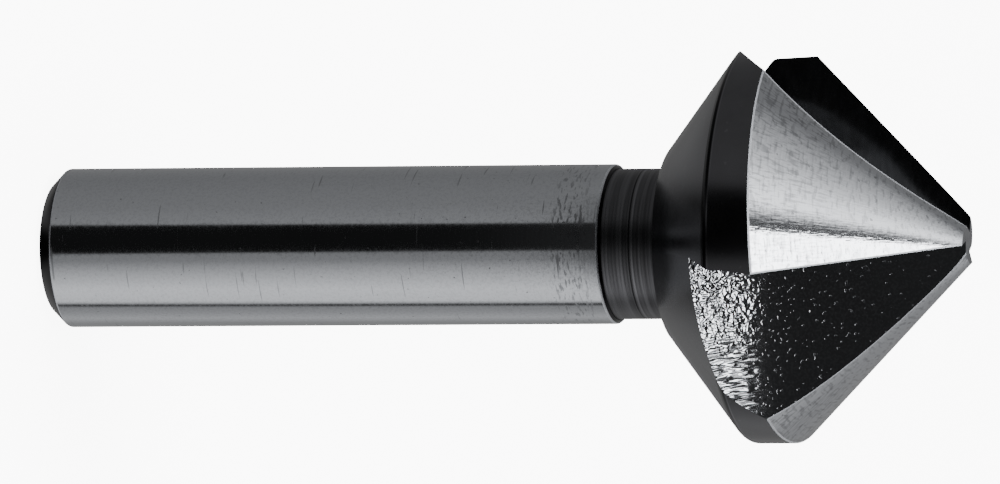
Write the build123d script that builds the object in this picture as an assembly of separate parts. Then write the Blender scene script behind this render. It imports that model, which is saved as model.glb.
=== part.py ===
"""Three-flute 90 degree countersink with a straight shank, turned and ground from one bar.

Units are millimetres. The tool's axis is Z. The shank's end face is at Z = 0 and the
tip is up. The first tooth's cutting edge lies in the XZ plane, on the +X side, and the
tool cuts when it turns counterclockwise seen from the tip, as a right-hand tool does.
"""

from build123d import *

import math
import os

# Overall sizes
OVERALL_LENGTH = 71.0
SHANK_R = 6.0
HEAD_R = 15.0
TIP_R = 2.1

# Shank and neck
SHANK_END_CHAMFER = 1.1
SHANK_TOP_Z = 44.1
SHANK_TOP_CHAMFER = 0.25
NECK_R = 5.65

# Head, from the neck to the tip
HEAD_BACK_Z = 48.5
HEAD_BACK_R = 7.3
BACK_CONE_TOP_Z = 54.6
POINT_HALF_ANGLE = 45.0

# Teeth: each flank is ground on a cone set over from the tool's axis
TEETH = 3
RELIEF_SET_OVER = 0.7
RELIEF_LEAD_ANGLE = 55.0
RELIEF_SWEEP = 108.0
RELIEF_OVERRUN = 6.0
GRINDING_CLEARANCE = 1.0

# Flutes: each is ground by a dish wheel whose flat side leaves the rake face
RAKE_ANGLE = 10.0
WHEEL_R = 30.0
WHEEL_WIDTH = 20.0
WHEEL_RIM_ANGLE = 14.9
WHEEL_CENTRE_OUTWARD = 24.2
WHEEL_CENTRE_TIPWARD = 2.8

# Sizes that follow from the ones above
POINT_SLOPE = math.tan(math.radians(POINT_HALF_ANGLE))
LAND_TOP_Z = OVERALL_LENGTH - (HEAD_R - TIP_R) / POINT_SLOPE
APEX_Z = OVERALL_LENGTH + TIP_R / POINT_SLOPE
TOOTH_PITCH = 360.0 / TEETH

UPWARD = (Align.CENTER, Align.CENTER, Align.MIN)


def turned_blank():
    """The blank as it leaves the lathe: shank, neck, back cone, land and 90 degree point."""
    outline = [
        (0, 0),
        (SHANK_R - SHANK_END_CHAMFER, 0),
        (SHANK_R, SHANK_END_CHAMFER),
        (SHANK_R, SHANK_TOP_Z - SHANK_TOP_CHAMFER),
        (SHANK_R - SHANK_TOP_CHAMFER, SHANK_TOP_Z),
        (NECK_R, SHANK_TOP_Z),
        (NECK_R, HEAD_BACK_Z),
        (HEAD_BACK_R, HEAD_BACK_Z),
        (HEAD_R, BACK_CONE_TOP_Z),
        (HEAD_R, LAND_TOP_Z),
        (TIP_R, OVERALL_LENGTH),
        (0, OVERALL_LENGTH),
    ]
    section = Plane.XZ * make_face(Polyline(*outline, close=True))
    return revolve(section, Axis.Z)


def flank_relief():
    """What relief grinding takes off behind the cutting edge on the +X side.

    The flank that stays is a 45 degree cone, set over towards a point ahead of the
    cutting edge, so it falls away steadily from the edge back to the heel.
    """
    lead = math.radians(RELIEF_LEAD_ANGLE)
    set_over_x = RELIEF_SET_OVER * math.cos(lead)
    set_over_y = RELIEF_SET_OVER * math.sin(lead)
    flank_r = (APEX_Z - BACK_CONE_TOP_Z) * POINT_SLOPE - set_over_x
    flank = Cone(flank_r, 0, flank_r / POINT_SLOPE, align=UPWARD)
    reach = HEAD_R + GRINDING_CLEARANCE
    rise = OVERALL_LENGTH - BACK_CONE_TOP_Z + GRINDING_CLEARANCE
    section = Plane.XZ * Rectangle(reach, rise, align=(Align.MIN, Align.MIN))
    sector = Rot(0, 0, -RELIEF_SWEEP) * revolve(section, Axis.Z, RELIEF_SWEEP + RELIEF_OVERRUN)
    ground_off = sector - Pos(set_over_x, set_over_y, 0) * flank
    return Pos(0, 0, BACK_CONE_TOP_Z) * ground_off


def flute():
    """What the dish wheel takes out ahead of the cutting edge on the +X side.

    The wheel lies against the cutting edge, tipped about it by the rake angle. Its flat
    side leaves the rake face and its coned rim leaves the flute's floor, which runs out
    through the land and the back cone.
    """
    rim_drop = WHEEL_WIDTH * math.tan(math.radians(WHEEL_RIM_ANGLE))
    wheel = Cone(WHEEL_R, WHEEL_R - rim_drop, WHEEL_WIDTH, align=UPWARD)
    along_edge = Plane(origin=(HEAD_R, 0, LAND_TOP_Z), x_dir=(POINT_SLOPE, 0, -1), z_dir=(0, 1, 0))
    return along_edge * Rot(-RAKE_ANGLE, 0, 0) * Pos(-WHEEL_CENTRE_TIPWARD, -WHEEL_CENTRE_OUTWARD) * wheel


def countersink_bit():
    """The finished tool: the blank with its three flanks relieved and its flutes ground."""
    bit = turned_blank()
    for tooth in range(TEETH):
        turn = Rot(0, 0, tooth * TOOTH_PITCH)
        bit -= turn * flank_relief()
        bit -= turn * flute()
    return bit


def main():
    os.makedirs("parts", exist_ok=True)
    export_step(countersink_bit(), "parts/countersink_bit.step")


if __name__ == "__main__":
    main()
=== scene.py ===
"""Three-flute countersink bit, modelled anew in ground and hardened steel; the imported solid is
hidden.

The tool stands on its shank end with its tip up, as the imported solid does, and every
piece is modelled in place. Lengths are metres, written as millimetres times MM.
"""

import math

import bmesh
import bpy
from bpy.props import FloatProperty, FloatVectorProperty, IntProperty, PointerProperty
from mathutils import Matrix, Vector


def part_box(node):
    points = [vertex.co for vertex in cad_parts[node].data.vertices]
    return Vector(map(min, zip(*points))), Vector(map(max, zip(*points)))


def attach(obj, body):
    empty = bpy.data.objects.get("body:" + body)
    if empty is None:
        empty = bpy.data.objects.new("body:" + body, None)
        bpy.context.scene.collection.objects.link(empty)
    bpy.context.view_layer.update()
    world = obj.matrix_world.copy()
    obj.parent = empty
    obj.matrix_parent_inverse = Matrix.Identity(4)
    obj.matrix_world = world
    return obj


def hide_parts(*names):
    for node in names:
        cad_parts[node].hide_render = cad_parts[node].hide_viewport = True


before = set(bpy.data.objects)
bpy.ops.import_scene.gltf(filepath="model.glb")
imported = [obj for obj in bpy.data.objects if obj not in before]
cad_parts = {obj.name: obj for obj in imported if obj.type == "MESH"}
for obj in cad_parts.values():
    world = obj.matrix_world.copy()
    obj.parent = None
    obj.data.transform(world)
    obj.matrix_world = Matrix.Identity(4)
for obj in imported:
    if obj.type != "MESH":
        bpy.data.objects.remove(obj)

bl_info = {
    "name": "Countersink bit",
    "version": (1, 0, 0),
    "blender": (4, 5, 0),
    "location": "View3D > Sidebar > Countersink",
    "description": "Models a three-flute countersink bit, its steel and its studio",
    "category": "Object",
}

MM = 0.001
NODE = "countersink_bit"
BODY = "root"
CAD_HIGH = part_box(NODE)[1]

# Finishes of the tool, in the order of its material slots
SHANK, SCALE, TURNED, FLANK, FLUTE, RAKE, TIP = range(7)

# Turned profile
SHANK_END_CHAMFER = 1.1 * MM
SHANK_TOP_Z = 44.1 * MM
SHANK_TOP_CHAMFER = 0.25 * MM
NECK_R = 5.65 * MM
HEAD_BACK_Z = 48.5 * MM
HEAD_BACK_R = 7.3 * MM
BACK_CONE_TOP_Z = 54.6 * MM
TIP_R = 2.1 * MM
BLANK_SIDES = 360
ROUND_STEPS = 3

# Widths of the blank's rounded edges
END_ROUNDING = 0.10 * MM
CHAMFER_ROUNDING = 0.08 * MM
SHOULDER_ROUNDING = 0.05 * MM
HEAD_BACK_ROUNDING = 0.12 * MM
LAND_ROUNDING = 0.28 * MM

# Relief grinding of the flanks
RELIEF_LEAD_ANGLE = math.radians(55)
RELIEF_SWEEP = math.radians(108)
RELIEF_OVERRUN = math.radians(6)
RELIEF_STEPS = 76
GRINDING_CLEARANCE = 1 * MM
FLANK_FOOT = 2 * MM

# Dish wheel that grinds the flutes
WHEEL_R = 30 * MM
WHEEL_WIDTH = 20 * MM
WHEEL_RIM_ANGLE = math.radians(14.9)
WHEEL_CENTRE_OUTWARD = 24.2 * MM
WHEEL_CENTRE_TIPWARD = 2.8 * MM
WHEEL_SIDES = 720

# Mesh: points closer than CLOSE are one point, and the finished tool's are merged up to
# MERGE_DISTANCE
CLOSE = 0.001 * MM
MERGE_DISTANCE = 0.004 * MM
SMOOTH_ANGLE = math.radians(24)

# Marks along the shank, from the chamfered end to the shoulder, with painted highlight and shade
BRIGHT_END_RIM = (SHANK_END_CHAMFER + 0.08 * MM, SHANK_END_CHAMFER + 0.14 * MM)
RUBBED_PATCH = (40.4 * MM, 42.9 * MM)
RUBBED_PATCH_FADE = 0.5 * MM
BRIGHT_TOP_RIM = (SHANK_TOP_Z - 0.30 * MM, SHANK_TOP_Z - 0.17 * MM)
BRIGHT_TOP_RIM_FADE = 0.02 * MM
DARK_SHOULDER = (SHANK_TOP_Z - 0.17 * MM, SHANK_TOP_Z - 0.14 * MM)

# Marks on the neck: lathe rings, a groove's painted shade and a painted highlight above it
LATHE_FEED = 0.28 * MM
GROOVE = (46.20 * MM, 46.32 * MM)
RIDGE = (46.42 * MM, 46.56 * MM)
GROOVE_FADE = 0.04 * MM

# Marks on the hardened faces: painted shade and a painted highlight line
DARK_END_CHAMFER = (0.06 * MM, SHANK_END_CHAMFER - 0.04 * MM)
DARK_END_CHAMFER_FADE = 0.04 * MM
DARK_CORNER = (BACK_CONE_TOP_Z - 0.36 * MM, BACK_CONE_TOP_Z + 0.13 * MM)
HIGHLIT_CORNER = (BACK_CONE_TOP_Z + 0.18 * MM, BACK_CONE_TOP_Z + 0.26 * MM)
CORNER_FADE = 0.03 * MM

# Marks on the flanks: the share of the painted highlight line's width at full strength, and
# the radii between which the strokes come in
HIGHLIT_CORE = 0.6
STROKES_COME_IN = (7.0 * MM, 12.5 * MM)

# Ripples on the flutes' floors: how far ahead of the cutting edge they turn into ridges, the
# heights between which they fade towards the tip, and their depth
RIPPLES_TO_RIDGES = (3.0 * MM, 7.5 * MM)
RIPPLES_FADE = (54.2 * MM, 58.0 * MM)
RIPPLE_DEPTH = 0.022 * MM

# Pits on the flutes' floors: above this height their noise is lower, by this much per metre
PITS_Z = 57 * MM
PITS_FALL_OFF = 9

# Slope along the axis that the bump adds to the flutes' floors, as rise over length
FLOOR_LEAN = 0.1232

# Tones of the walls that the steel mirrors, at degrees round the tool from the near side
# towards the upper side
WALL_TONES = (
    (-180, 0.24), (-147, 0.32), (-128, 0.56), (-110, 0.4), (-99, 0.34), (-97.5, 0.06),
    (-93.5, 0.05), (-92, 0.5), (-87, 0.95), (-66, 1.05), (-50, 0.8), (-35, 0.55),
    (-21, 0.3), (-5, 0.26), (20, 0.34), (60, 0.26), (120, 0.215), (180, 0.24))

# Tones beyond the tip and beyond the shank's end, from the lower side (0) to the upper side (1)
CEILING_TONES = (
    (0.0, 0.02), (0.30, 0.02), (0.42, 0.002), (0.438, 1.0), (0.562, 1.0), (0.568, 0.01),
    (0.60, 0.015), (0.64, 0.19), (0.66, 0.27), (0.71, 0.2), (0.75, 0.13), (0.79, 0.085),
    (0.83, 0.052), (0.92, 0.03), (1.0, 0.025))
BELOW_TONES = (
    (0.0, 0.44), (0.40, 0.44), (0.45, 0.01), (0.57, 0.01), (0.60, 0.4), (0.63, 0.4),
    (0.68, 0.1), (1.0, 0.1))

# Edges of the dark flags, of the ceiling and of the part below, each as the two cosines that
# it fades between: from the near side, from the upper side or from the tool's axis
FRONT_FLAG_UPPER = (-0.15, 0.503)
FRONT_FLAG_FADE = 0.018
FRONT_FLAG_NEAR = (0.0, 0.15)
TIP_FLAG_NEAR = (0.2, 0.35)
TIP_FLAG_ALONG = (-0.14, -0.09)
FLAG_RISE_ALONG = (-0.2, -0.1)
CEILING_ALONG = (0.55, 0.8)
CEILING_NEAR_EDGE = (0.262, 0.30)
CEILING_FAR_EDGE = (-0.45, -0.25)
BELOW_ALONG = (0.5, 0.75)

# Tone of the flags, and what it rises by towards the tip
FLAG_TONE = 0.01
FLAG_TONE_RISE = 0.02

# Floor, background and lamp of the studio
FLOOR_RADIUS = 6
FLOOR_SIDES = 128
PAPER_COLOR = (0.8, 0.8, 0.8, 1)
PAPER_ROUGHNESS = 0.9
BACKGROUND_OVER_FLOOR = 1.02
WHITE = (1, 1, 1, 1)
LAMP_SIZE = 0.6
LAMP_PLACE = (0.1, -0.2, 0.9)

# Camera: it looks at the tool from the side, a little from above the tip, and lies on its side
VIEW_TURN = math.radians(-9.22)
VIEW_RISE = math.radians(15.771)
VIEW_SWING = math.radians(-0.326)
VIEW_ROLL = math.radians(0.32)
VIEW_DISTANCE = 1.2
VIEW_LENS = 575.1
TARGET_ALONG = 34.74 * MM
TARGET_UP = 0.216 * MM
CLIP_START, CLIP_END = 0.1, 20

AXIS = Vector((0, 0, 1))
NEAR_SIDE = Vector((math.cos(VIEW_TURN), math.sin(VIEW_TURN), 0))
UPPER_SIDE = Vector((math.sin(VIEW_TURN), -math.cos(VIEW_TURN), 0))


class Socket:
    """A node's value. Arithmetic on it adds Math nodes to the same tree."""

    def __init__(self, tree, socket):
        self.tree = tree
        self.socket = socket

    def math(self, operation, *others, clamp=False):
        """A Math node's result, with this value first and the others after it."""
        new = self.tree.nodes.new("ShaderNodeMath")
        new.operation = operation
        new.use_clamp = clamp
        for slot, value in zip(new.inputs, (self, *others)):
            feed(slot, value)
        return Socket(self.tree, new.outputs[0])

    def __add__(self, other):
        return self.math("ADD", other)

    def __sub__(self, other):
        return self.math("SUBTRACT", other)

    def __rsub__(self, other):
        return self * -1 + other

    def __mul__(self, other):
        return self.math("MULTIPLY", other)

    def __truediv__(self, other):
        return self.math("DIVIDE", other)

    def __pow__(self, other):
        return self.math("POWER", other)

    __radd__ = __add__
    __rmul__ = __mul__

    def clamp(self):
        return self.math("ADD", 0.0, clamp=True)

    def step(self, low, high):
        """0 below low, 1 above high, and a soft edge between."""
        return node(self.tree, "ShaderNodeMapRange", {"interpolation_type": "SMOOTHSTEP"},
                    {"Value": self, "From Min": low, "From Max": high})

    def between(self, low, high, edge):
        """1 from low to high and 0 elsewhere, with soft edges."""
        return self.step(low - edge, low + edge) * (1 - self.step(high - edge, high + edge))


def feed(slot, value):
    """Links a value into a node's slot, or writes a plain number, colour or vector there."""
    if isinstance(value, Socket):
        value.tree.links.new(value.socket, slot)
    else:
        slot.default_value = value


def node(tree, kind, settings=None, inputs=None, output=0):
    """Adds a node, sets it up, feeds its slots and returns one of its outputs."""
    new = tree.nodes.new(kind)
    for name, value in (settings or {}).items():
        setattr(new, name, value)
    for name, value in (inputs or {}).items():
        feed(new.inputs[name], value)
    return Socket(tree, new.outputs[output])


def tones(place, stops):
    """A grey that runs through the stops, each of them a place from 0 to 1 and its tone."""
    new = place.tree.nodes.new("ShaderNodeValToRGB")
    elements = new.color_ramp.elements
    while len(elements) < len(stops):
        elements.new(0.5)
    for element, (position, tone) in zip(elements, stops):
        element.position = position
        element.color = (tone, tone, tone, 1)
    feed(new.inputs["Fac"], place)
    return Socket(place.tree, new.outputs["Color"])


def dot(direction, axis):
    return node(direction.tree, "ShaderNodeVectorMath", {"operation": "DOT_PRODUCT"},
                {0: direction, 1: axis}, "Value")


def blend(factor, first, second):
    """A colour between two colours."""
    return node(factor.tree, "ShaderNodeMix", {"data_type": "RGBA"},
                {0: factor, 6: first, 7: second}, 2)


class Finish:
    """A steel finish: one material, with the places and noises that its marks are made from."""

    def __init__(self, name):
        self.material = bpy.data.materials.new(name)
        self.material.use_nodes = True
        self.tree = self.material.node_tree
        self.shader = self.tree.nodes["Principled BSDF"]
        self.shader.inputs["Metallic"].default_value = 1
        self.place = node(self.tree, "ShaderNodeTexCoord", output="Object")
        self.x, self.y, self.z = self.split(self.place)

    def split(self, place):
        return [node(self.tree, "ShaderNodeSeparateXYZ", inputs={0: place}, output=axis)
                for axis in "XYZ"]

    def polar(self):
        """Angle round the axis in turns, and distance from the axis."""
        turn = self.y.math("ARCTAN2", self.x) / (2 * math.pi)
        return turn, (self.x * self.x + self.y * self.y) ** 0.5

    def tooth(self, teeth, ahead):
        """The place, turned round the axis until its own cutting edge is on the +X side.

        In a flute that is the nearest edge clockwise, and ahead is 0. On a flank it is
        the nearest edge counterclockwise, and ahead is 1.
        """
        turn, _ = self.polar()
        edge = (turn * teeth + teeth).math("FLOOR") + ahead
        return node(self.tree, "ShaderNodeVectorRotate", {"rotation_type": "Z_AXIS"},
                    {"Vector": self.place, "Angle": edge * (-2 * math.pi / teeth)})

    def noise(self, place, scale=1.0, detail=3.0, rough=0.5, distortion=0.0):
        return node(self.tree, "ShaderNodeTexNoise", inputs={
            "Vector": place, "Scale": scale, "Detail": detail, "Roughness": rough,
            "Distortion": distortion})

    def stretched(self, x, y, z, **look):
        """Noise on a place made up of three values, so that it can be stretched."""
        place = node(self.tree, "ShaderNodeCombineXYZ", inputs={"X": x, "Y": y, "Z": z})
        return self.noise(place, **look)

    def rings(self, across, along, offset=0.0, **look):
        """Noise squeezed along the axis, which makes rings round it."""
        return self.stretched(self.x * across, self.y * across, self.z * along + offset, **look)

    def dress(self, color, roughness, bump, depth):
        """Gives the steel its colour, roughness and bump, and returns the material."""
        normal = node(self.tree, "ShaderNodeBump", inputs={
            "Height": bump, "Distance": depth, "Strength": 1.0})
        for name, value in (("Base Color", color), ("Roughness", roughness), ("Normal", normal)):
            feed(self.shader.inputs[name], value)
        return self.material


def through(place, matrix):
    """A place taken through a matrix, as three values."""
    return [dot(place, row[:3]) + row[3] for row in matrix[:3]]


def highlit_edges(finish, sizes):
    """Mask of a painted highlight: 1 along the flank's edges with the land, rake face and flute, 0
    elsewhere.
    """
    _, radius = finish.polar()
    place = finish.tooth(sizes.teeth, 1)
    at_edge = wheel_place(sizes).inverted()
    at_heel = at_edge @ Matrix.Rotation(2 * math.pi / sizes.teeth, 4, "Z")
    ahead = through(place, at_edge)[2]
    outward, tipward, depth = through(place, at_heel)
    rim = WHEEL_R - depth * math.tan(WHEEL_RIM_ANGLE)
    gap = (outward * outward + tipward * tipward) ** 0.5 - rim
    core, wide = sizes.edge_highlight * HIGHLIT_CORE, sizes.edge_highlight
    inside = radius - sizes.head_radius
    line = ahead.step(-wide, -core) + inside.step(-wide, -core)
    return (line + 1 - gap.step(core, wide)).clamp()


def tint(color, share):
    return (*(channel * share for channel in color), 1)


def ground_shank(sizes, colors):
    """Cylindrically ground: fine rings, scratches round it and a rubbed patch by the neck."""
    finish = Finish("ground_shank")
    rings = finish.rings(60, 5200, detail=2.0)
    clouds = finish.rings(260, 420, detail=4.0, rough=0.6)
    grain = finish.noise(finish.place, 4600, 2.0, 0.7).step(0.4, 0.7)
    scratches = finish.rings(240, 4200, 7.0, detail=1.0).step(0.70, 0.76)
    rubbed = finish.rings(1400, 5000, 3.0, detail=1.0).step(0.54, 0.66)
    rubbed = rubbed * finish.z.between(*RUBBED_PATCH, RUBBED_PATCH_FADE)
    specks = finish.noise(finish.place, 3000, 1.0).step(0.74, 0.79)
    dull = (scratches + specks + rubbed * 0.8 + grain * 0.26).clamp()
    # Painted highlights: light, rougher lines at the shank's top rim and just above its end
    # chamfer.
    rim = finish.z.between(*BRIGHT_TOP_RIM, BRIGHT_TOP_RIM_FADE)
    rim = rim + 1 - finish.z.step(*BRIGHT_END_RIM)
    steel = blend(dull * 0.55, tint(colors.ground, 1.1), tint(colors.ground, 0.35))
    steel = blend(rim, steel, tint(colors.ground, 1.6))
    # Painted shade: a near-black line on the top chamfer, up to the shoulder.
    return finish.dress(
        color=blend(finish.z.step(*DARK_SHOULDER), steel, tint(colors.scale, 0.2)),
        roughness=0.07 + clouds * 0.06 + dull * 0.2 + rim * 0.4,
        bump=rings + clouds * 0.6 + grain * 0.3, depth=0.0010 * MM)


def hard_scale(sizes, colors):
    """The dark skin that hardening leaves on turned faces, with faint turning rings."""
    finish = Finish("hard_scale")
    clouds = finish.noise(finish.place, 420, 5.0, 0.6)
    rings = finish.rings(30, 3600, detail=2.0)
    specks = finish.noise(finish.place, 2400, 1.0).step(0.71, 0.77)
    # Painted shade at the land's back corner; a painted highlight line on the land just above it.
    corner = finish.z.between(*DARK_CORNER, CORNER_FADE)
    highlit = finish.z.between(*HIGHLIT_CORNER, CORNER_FADE)
    # Painted shade: near black on the end chamfer.
    end = finish.z.between(*DARK_END_CHAMFER, DARK_END_CHAMFER_FADE)
    skin = blend((clouds * 0.7 + specks * 0.5 + highlit * 0.8).clamp(),
                 tint(colors.scale, 0.95), tint(colors.scale, 1.6))
    return finish.dress(
        color=blend(corner * 0.9 + end * 0.8, skin, tint(colors.scale, 0.1)),
        roughness=0.17 + clouds * 0.1,
        bump=rings + clouds, depth=0.002 * MM)


def turned_neck(sizes, colors):
    """Turned and hardened: plain lathe rings under a dark skin, and a groove's painted shade."""
    finish = Finish("turned_neck")
    feed_rings = (finish.z * (2 * math.pi / LATHE_FEED)).math("SINE")
    rings = finish.rings(30, 2600, detail=3.0)
    # Painted shade: a near-black line where a groove would be shaded.
    groove = finish.z.between(*GROOVE, GROOVE_FADE)
    # Painted highlight: a light line on the ridge above the groove.
    ridge = finish.z.between(*RIDGE, GROOVE_FADE)
    skin = blend(rings.step(0.35, 0.7), tint(colors.scale, 0.8), tint(colors.scale, 1.6))
    skin = blend(ridge * 0.5, skin, tint(colors.scale, 2.6))
    return finish.dress(
        color=blend(groove * 0.9, skin, tint(colors.scale, 0.1)),
        roughness=0.3 + rings * 0.14,
        bump=feed_rings * 0.35 + rings * 1.5, depth=0.01 * MM)


def ground_flank(sizes, colors):
    """Relief-ground cone: short strokes towards the tip, fine arcs round it and a few pits."""
    finish = Finish("ground_flank")
    turn, radius = finish.polar()
    arcs = finish.stretched(turn * 60, radius * 4300, 2.0, detail=2.0)
    strokes = finish.stretched(turn * 420, radius * 1100, 5.0, detail=1.0)
    outer = radius.step(*STROKES_COME_IN)
    fine = finish.noise(finish.place, 3400, 2.0)
    pits = finish.noise(finish.place, 2100, 1.0).step(0.72, 0.75)
    # Painted highlight: the flank is lightened, and made rougher, along its edges.
    line = highlit_edges(finish, sizes)
    dark = strokes.step(0.48, 0.66) * outer * 0.7 + arcs.step(0.5, 0.66) * 0.6 + pits * 1.6
    steel = blend(dark.clamp() * 0.62, tint(colors.ground, 1.24), tint(colors.ground, 0.3))
    return finish.dress(
        color=blend(line, steel, tint(colors.ground, 1.6)),
        roughness=0.06 + arcs * 0.03 + line * 0.55,
        bump=arcs * 2.0 + strokes * 1.2 + fine * 1.4, depth=0.003 * MM)


def ground_flute(sizes, colors):
    """The flute's floor: rippled where the wheel ran out, smoother and pitted towards the tip.

    The bump also leans the floor's normals a few degrees towards the shank.
    """
    finish = Finish("ground_flute")
    place = finish.tooth(sizes.teeth, 0)
    x, y, z = finish.split(place)
    maze = finish.noise(place, 2200, 0.0, 0.4, 1.1)
    ridges = finish.stretched(
        x * 750, y * 3300, z * 700, detail=0.0, rough=0.4, distortion=0.5)
    outward = y.step(*RIPPLES_TO_RIDGES)
    waves = maze * (1 - outward) + ridges * outward * 1.6
    runout = 1 - z.step(*RIPPLES_FADE)
    fine = finish.noise(finish.place, 5200, 1.0)
    pits = finish.noise(finish.place, 3300, 0.0) - (z - PITS_Z) * PITS_FALL_OFF
    ripples = waves * (runout * 7.0 + 0.3) + fine * 0.08 - pits.step(0.69, 0.73) * 0.7
    return finish.dress(
        color=blend(fine.step(0.4, 0.7), tint(colors.ground, 0.75), tint(colors.ground, 0.95)),
        roughness=0.09 + fine * 0.05,
        bump=ripples + z * (FLOOR_LEAN / RIPPLE_DEPTH), depth=RIPPLE_DEPTH)


def rake_face(sizes, colors):
    """Wheel-ground rake face: straight fine strokes, flat, and darkened as painted shade."""
    finish = Finish("rake_face")
    strokes = finish.rings(900, 2600, detail=2.0)
    return finish.dress(
        # Painted shade: the rake face's steel is far darker than the other ground steel.
        color=blend(strokes.step(0.3, 0.8), tint(colors.ground, 0.3), tint(colors.ground, 0.4)),
        roughness=0.09 + strokes * 0.05,
        bump=strokes, depth=0.0010 * MM)


def ground_tip(sizes, colors):
    """The small flat at the tip."""
    finish = Finish("ground_tip")
    clouds = finish.noise(finish.place, 2200, 2.0)
    return finish.dress(
        color=blend(clouds, tint(colors.ground, 0.5), tint(colors.ground, 0.9)),
        roughness=0.25 + clouds * 0.1,
        bump=clouds, depth=0.004 * MM)


def steel_finishes(sizes, colors):
    """The tool's finishes, in slot order."""
    return [make(sizes, colors) for make in (
        ground_shank, hard_scale, turned_neck, ground_flank, ground_flute, rake_face, ground_tip)]


def deselect_all():
    if bpy.context.object and bpy.context.object.mode != "OBJECT":
        bpy.ops.object.mode_set(mode="OBJECT")
    bpy.ops.object.select_all(action="DESELECT")


def edit(piece):
    """Selects only this piece and opens it in edit mode with everything in it selected."""
    deselect_all()
    bpy.context.view_layer.objects.active = piece
    piece.select_set(True)
    bpy.ops.object.mode_set(mode="EDIT")
    bpy.ops.mesh.select_mode(type="FACE")
    bpy.ops.mesh.select_all(action="SELECT")


def select_faces(piece, wanted):
    mesh = bmesh.from_edit_mesh(piece.data)
    for face in mesh.faces:
        face.select_set(wanted(face))
    bmesh.update_edit_mesh(piece.data)


def select_ring(piece, radius, z):
    """Selects the edges that run round the axis at this radius and height."""
    bpy.ops.mesh.select_mode(type="EDGE")
    bpy.ops.mesh.select_all(action="DESELECT")
    mesh = bmesh.from_edit_mesh(piece.data)
    for edge in mesh.edges:
        edge.select_set(all(
            abs(vertex.co.z - z) < CLOSE and abs(vertex.co.xy.length - radius) < CLOSE
            for vertex in edge.verts))
    bmesh.update_edit_mesh(piece.data)


def carry_finishes(piece, finishes, index):
    """Gives a piece all the finishes and paints its faces with one, which cuts hand on."""
    for finish in finishes:
        piece.data.materials.append(finish)
    for face in piece.data.polygons:
        face.material_index = index


def apply_modifier(piece, kind, **settings):
    deselect_all()
    bpy.context.view_layer.objects.active = piece
    piece.select_set(True)
    modifier = piece.modifiers.new(kind.title(), kind)
    for name, value in settings.items():
        setattr(modifier, name, value)
    bpy.ops.object.modifier_apply(modifier=modifier.name)


def cut(piece, cutter):
    apply_modifier(piece, "BOOLEAN", operation="DIFFERENCE", solver="EXACT", object=cutter)
    bpy.data.objects.remove(cutter)


def blank_rings(sizes):
    """The blank's rings above its end chamfer: radius, height, finish of the band below."""
    land_top_z = sizes.length - (sizes.head_radius - TIP_R)
    return [
        (sizes.shank_radius, SHANK_TOP_Z - SHANK_TOP_CHAMFER, SHANK),
        (sizes.shank_radius - SHANK_TOP_CHAMFER, SHANK_TOP_Z, SHANK),
        (NECK_R, SHANK_TOP_Z, TURNED),
        (NECK_R, HEAD_BACK_Z, TURNED),
        (HEAD_BACK_R, HEAD_BACK_Z, SCALE),
        (sizes.head_radius, BACK_CONE_TOP_Z, SCALE),
        (sizes.head_radius, land_top_z, SCALE),
        (TIP_R, sizes.length, FLANK),
    ]


def turned_blank(sizes, finishes):
    """The blank as it leaves the lathe, grown ring by ring from its chamfered end."""
    radius, z = sizes.shank_radius, SHANK_END_CHAMFER
    bpy.ops.mesh.primitive_cone_add(
        vertices=BLANK_SIDES, radius1=radius - SHANK_END_CHAMFER, radius2=radius, depth=z,
        location=(0, 0, z / 2))
    blank = bpy.context.object
    bpy.ops.object.transform_apply()
    carry_finishes(blank, finishes, SCALE)
    edit(blank)
    for next_radius, next_z, finish in blank_rings(sizes):
        select_faces(blank, lambda face: len(face.verts) == BLANK_SIDES and face.normal.z > 0)
        bpy.ops.mesh.extrude_region_move(TRANSFORM_OT_translate={"value": (0, 0, next_z - z)})
        share = next_radius / radius
        bpy.ops.transform.resize(value=(share, share, 1), center_override=(0, 0, next_z))
        radius, z = next_radius, next_z
        mesh = bmesh.from_edit_mesh(blank.data)
        cap = next(face for face in mesh.faces if face.select)
        for edge in cap.edges:
            for face in edge.link_faces:
                face.material_index = finish
        cap.material_index = TIP
        bmesh.update_edit_mesh(blank.data)
    rounded = (
        (sizes.shank_radius - SHANK_END_CHAMFER, 0, END_ROUNDING),
        (sizes.shank_radius, SHANK_END_CHAMFER, CHAMFER_ROUNDING),
        (sizes.shank_radius, SHANK_TOP_Z - SHANK_TOP_CHAMFER, SHOULDER_ROUNDING),
        (HEAD_BACK_R, HEAD_BACK_Z, HEAD_BACK_ROUNDING),
        (sizes.head_radius, BACK_CONE_TOP_Z, LAND_ROUNDING),
    )
    for ring_radius, ring_z, width in rounded:
        select_ring(blank, ring_radius, ring_z)
        bpy.ops.mesh.bevel(offset=width, segments=ROUND_STEPS, affect="EDGES")
    bpy.ops.object.mode_set(mode="OBJECT")
    return blank


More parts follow.
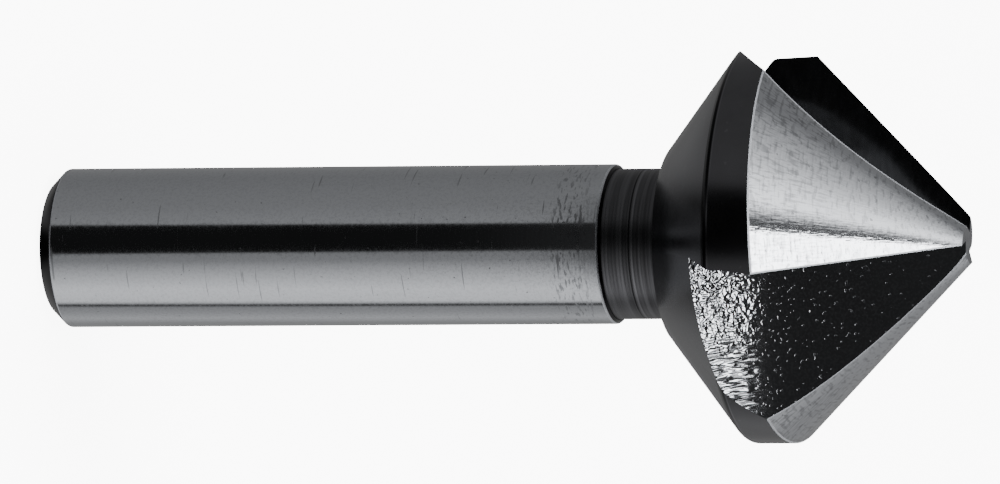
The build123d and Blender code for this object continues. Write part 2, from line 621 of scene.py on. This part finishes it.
def flank_relief(sizes, finishes):
    """What relief grinding takes off behind the cutting edge on the +X side.

    The flank that stays is a 45 degree cone, set over from the tool's axis.
    """
    set_over = sizes.relief * Vector((math.cos(RELIEF_LEAD_ANGLE), math.sin(RELIEF_LEAD_ANGLE), 0))
    reach = sizes.head_radius + GRINDING_CLEARANCE
    rise = sizes.length - BACK_CONE_TOP_Z + GRINDING_CLEARANCE
    bpy.ops.mesh.primitive_plane_add(size=1)
    sector = bpy.context.object
    edit(sector)
    bpy.ops.transform.resize(value=(reach, rise, 1))
    bpy.ops.transform.translate(value=(reach / 2, rise / 2, 0))
    bpy.ops.object.mode_set(mode="OBJECT")
    sector.data.transform(
        Matrix.Rotation(RELIEF_OVERRUN, 4, "Z") @ Matrix.Rotation(math.radians(90), 4, "X"))
    edit(sector)
    bpy.ops.mesh.spin(steps=RELIEF_STEPS, angle=RELIEF_SWEEP + RELIEF_OVERRUN,
                      center=(0, 0, 0), axis=(0, 0, 1))
    bpy.ops.mesh.select_all(action="SELECT")
    bpy.ops.mesh.remove_doubles(threshold=CLOSE)
    bpy.ops.mesh.normals_make_consistent(inside=False)
    bpy.ops.object.mode_set(mode="OBJECT")
    carry_finishes(sector, finishes, FLANK)
    apex = sizes.length + TIP_R - BACK_CONE_TOP_Z - set_over.x
    deselect_all()
    bpy.ops.mesh.primitive_cone_add(
        vertices=BLANK_SIDES, radius1=apex + FLANK_FOOT, radius2=0, depth=apex + FLANK_FOOT,
        location=set_over + AXIS * (apex - FLANK_FOOT) / 2)
    flank = bpy.context.object
    bpy.ops.object.transform_apply()
    carry_finishes(flank, finishes, FLANK)
    cut(sector, flank)
    sector.data.transform(Matrix.Translation(AXIS * BACK_CONE_TOP_Z))
    return sector


def wheel_place(sizes):
    """Where the dish wheel stands to grind the flute ahead of the cutting edge on the +X side."""
    down_edge = Vector((1, 0, -1)).normalized()
    off_face = Vector((0, 1, 0))
    along_edge = Matrix((down_edge, off_face.cross(down_edge), off_face)).transposed().to_4x4()
    along_edge.translation = (sizes.head_radius, 0, sizes.length - (sizes.head_radius - TIP_R))
    centre = Matrix.Translation((-WHEEL_CENTRE_TIPWARD, -WHEEL_CENTRE_OUTWARD, 0))
    return along_edge @ Matrix.Rotation(-sizes.rake_angle, 4, "X") @ centre


def flute_wheel(sizes, finishes):
    """The dish wheel at work ahead of the cutting edge on the +X side.

    Its flat side leaves the rake face and its coned rim leaves the flute's floor.
    """
    rim_drop = WHEEL_WIDTH * math.tan(WHEEL_RIM_ANGLE)
    bpy.ops.mesh.primitive_cone_add(
        vertices=WHEEL_SIDES, radius1=WHEEL_R, radius2=WHEEL_R - rim_drop, depth=WHEEL_WIDTH,
        location=(0, 0, WHEEL_WIDTH / 2))
    wheel = bpy.context.object
    bpy.ops.object.transform_apply()
    carry_finishes(wheel, finishes, FLUTE)
    for face in wheel.data.polygons:
        if face.normal.z < 0:
            face.material_index = RAKE
    wheel.data.transform(wheel_place(sizes))
    return wheel


class BitSizes(bpy.types.PropertyGroup):
    """Sizes of the tool that a user would change"""

    length: FloatProperty(
        name="Length", description="Overall length, from the shank's end to the tip",
        default=CAD_HIGH.z, unit="LENGTH")
    head_radius: FloatProperty(
        name="Head radius", description="Radius of the head at its land",
        default=CAD_HIGH.x, unit="LENGTH")
    shank_radius: FloatProperty(
        name="Shank radius", description="Radius of the ground shank",
        default=6 * MM, unit="LENGTH")
    teeth: IntProperty(
        name="Teeth", description="Number of cutting edges and flutes", default=3, min=1)
    relief: FloatProperty(
        name="Relief", description="How far each flank's cone is set over from the axis",
        default=0.7 * MM, unit="LENGTH")
    rake_angle: FloatProperty(
        name="Rake angle", description="Lean of the rake faces under their cutting edges",
        default=math.radians(10), subtype="ANGLE")
    # A painted highlight line along the flanks' edges; this is its width.
    edge_highlight: FloatProperty(
        name="Edge highlight", description="Width of the worn line along the flanks' edges",
        default=0.14 * MM, unit="LENGTH")


class SteelColors(bpy.types.PropertyGroup):
    """Reflection colours of the steel"""

    ground: FloatVectorProperty(
        name="Ground steel", description="Colour of freshly ground steel",
        default=(0.54, 0.555, 0.585), subtype="COLOR", min=0, max=1)
    scale: FloatVectorProperty(
        name="Hardening skin", description="Colour of the dark skin on turned faces",
        default=(0.105, 0.105, 0.112), subtype="COLOR", min=0, max=1)


class StudioLight(bpy.types.PropertyGroup):
    """Brightness of the studio"""

    paper: FloatProperty(
        name="Paper", description="Brightness of the pale floor", default=8.5, min=0)
    overhead: FloatProperty(
        name="Overhead", description="Power of the light over the floor, in watts",
        default=14.0, min=0)
    box: FloatProperty(
        name="Soft box", description="Brightness of the soft box above the tip",
        default=9.0, min=0)


class COUNTERSINK_OT_bit(bpy.types.Operator):
    """Model the countersink bit: turn the blank, relieve its flanks and grind its flutes"""

    bl_idname = "countersink.bit"
    bl_label = "Countersink bit"

    def execute(self, context):
        sizes = context.scene.countersink_sizes
        finishes = steel_finishes(sizes, context.scene.countersink_colors)
        deselect_all()
        bit = turned_blank(sizes, finishes)
        for tooth in range(sizes.teeth):
            turn = Matrix.Rotation(tooth * 2 * math.pi / sizes.teeth, 4, "Z")
            for make_cutter in (flank_relief, flute_wheel):
                deselect_all()
                cutter = make_cutter(sizes, finishes)
                cutter.data.transform(turn)
                cut(bit, cutter)
        edit(bit)
        bpy.ops.mesh.remove_doubles(threshold=MERGE_DISTANCE)
        bpy.ops.object.mode_set(mode="OBJECT")
        bpy.ops.object.shade_smooth_by_angle(angle=SMOOTH_ANGLE)
        bit.name = bit.data.name = "ground_bit"
        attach(bit, BODY)
        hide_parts(NODE)
        return {"FINISHED"}


class COUNTERSINK_OT_studio(bpy.types.Operator):
    """Set up the pale floor, the soft light and the camera"""

    bl_idname = "countersink.studio"
    bl_label = "Studio"

    def execute(self, context):
        light = context.scene.countersink_light
        self.floor(light.paper)
        self.surroundings(context.scene, light)
        self.overhead(light.overhead)
        context.scene.camera = self.camera()
        return {"FINISHED"}

    def floor(self, brightness):
        """A round sheet of pale paper that shines softly. The steel doesn't mirror it."""
        deselect_all()
        bpy.ops.mesh.primitive_circle_add(
            vertices=FLOOR_SIDES, radius=FLOOR_RADIUS, fill_type="NGON")
        floor = bpy.context.object
        floor.name = floor.data.name = "floor"
        floor.visible_glossy = False
        material = bpy.data.materials.new("floor_paper")
        material.use_nodes = True
        paper = material.node_tree.nodes["Principled BSDF"]
        paper.inputs["Base Color"].default_value = PAPER_COLOR
        paper.inputs["Roughness"].default_value = PAPER_ROUGHNESS
        paper.inputs["Emission Color"].default_value = WHITE
        paper.inputs["Emission Strength"].default_value = brightness
        floor.data.materials.append(material)

    def surroundings(self, scene, light):
        """The soft boxes and dark flags round the tool, as the steel mirrors them."""
        world = scene.world = bpy.data.worlds.new("studio")
        world.use_nodes = True
        tree = world.node_tree
        direction = node(tree, "ShaderNodeTexCoord", output="Generated")
        near, upper, along = (dot(direction, axis) for axis in (NEAR_SIDE, UPPER_SIDE, AXIS))
        turn = upper.math("ARCTAN2", near) / (2 * math.pi) + 0.5
        across = upper * 0.5 + 0.5
        walls = tones(turn, [(degrees / 360 + 0.5, tone) for degrees, tone in WALL_TONES])
        front_flag = upper.between(*FRONT_FLAG_UPPER, FRONT_FLAG_FADE)
        front_flag = front_flag * near.step(*FRONT_FLAG_NEAR)
        tip_flag = near.step(*TIP_FLAG_NEAR) * along.step(*TIP_FLAG_ALONG)
        flags = (front_flag + tip_flag).clamp()
        flag_tone = FLAG_TONE + along.step(*FLAG_RISE_ALONG) * FLAG_TONE_RISE
        ceiling = along.step(*CEILING_ALONG) * (1 - near.step(*CEILING_NEAR_EDGE))
        ceiling = ceiling * near.step(*CEILING_FAR_EDGE)
        below = (along * -1).step(*BELOW_ALONG)
        tone = (walls * (1 - flags) + flags * flag_tone) * (1 - ceiling) * (1 - below)
        tone = tone + tones(across, BELOW_TONES) * below
        tone = tone + tones(across, CEILING_TONES) * ceiling * light.box
        seen = node(tree, "ShaderNodeLightPath", output="Is Camera Ray")
        shine = tone * (1 - seen) + seen * (light.paper * BACKGROUND_OVER_FLOOR)
        background = tree.nodes["Background"].inputs
        feed(background["Strength"], shine)
        feed(background["Color"], WHITE)

    def overhead(self, watts):
        """A large lamp above that shades only the floor."""
        lamp = bpy.data.lights.new("overhead", "AREA")
        lamp.shape = "DISK"
        lamp.size = LAMP_SIZE
        lamp.energy = watts
        holder = bpy.data.objects.new("overhead", lamp)
        holder.location = LAMP_PLACE
        holder.rotation_euler = (-holder.location).to_track_quat("-Z", "Y").to_euler()
        holder.visible_glossy = False
        holder.visible_camera = False
        bpy.context.scene.collection.objects.link(holder)

    def camera(self):
        """A long lens, rolled so that the tool lies across the view with its tip to the right."""
        lens = bpy.data.cameras.new("camera")
        lens.lens = VIEW_LENS
        lens.clip_start, lens.clip_end = CLIP_START, CLIP_END
        back = (AXIS * math.sin(VIEW_RISE) + NEAR_SIDE * math.cos(VIEW_RISE)) * math.cos(VIEW_SWING)
        back += UPPER_SIDE * math.sin(VIEW_SWING)
        right = UPPER_SIDE.cross(back).normalized()
        level = Matrix((right, back.cross(right), back)).transposed()
        pose = (level @ Matrix.Rotation(-VIEW_ROLL, 3, "Z")).to_4x4()
        pose.translation = AXIS * TARGET_ALONG + UPPER_SIDE * TARGET_UP + back * VIEW_DISTANCE
        camera = bpy.data.objects.new("camera", lens)
        camera.matrix_world = pose
        bpy.context.scene.collection.objects.link(camera)
        return camera


class COUNTERSINK_PT_sidebar(bpy.types.Panel):
    """Lists the tool's sizes, colours and makers"""

    bl_idname = "COUNTERSINK_PT_sidebar"
    bl_label = "Countersink bit"
    bl_space_type = "VIEW_3D"
    bl_region_type = "UI"
    bl_category = "Countersink"

    def draw(self, context):
        for group in (context.scene.countersink_sizes, context.scene.countersink_colors,
                      context.scene.countersink_light):
            for name in group.__annotations__:
                self.layout.prop(group, name)
        for operator in (COUNTERSINK_OT_bit, COUNTERSINK_OT_studio):
            self.layout.operator(operator.bl_idname)


GROUPS = {
    "countersink_sizes": BitSizes,
    "countersink_colors": SteelColors,
    "countersink_light": StudioLight,
}
CLASSES = (*GROUPS.values(), COUNTERSINK_OT_bit, COUNTERSINK_OT_studio, COUNTERSINK_PT_sidebar)


def register():
    for cls in CLASSES:
        bpy.utils.register_class(cls)
    for name, group in GROUPS.items():
        setattr(bpy.types.Scene, name, PointerProperty(type=group))


def unregister():
    for name in GROUPS:
        delattr(bpy.types.Scene, name)
    for cls in reversed(CLASSES):
        bpy.utils.unregister_class(cls)


def main():
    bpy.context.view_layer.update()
    register()
    bpy.ops.countersink.bit()
    bpy.ops.countersink.studio()


if __name__ == "__main__":
    main()
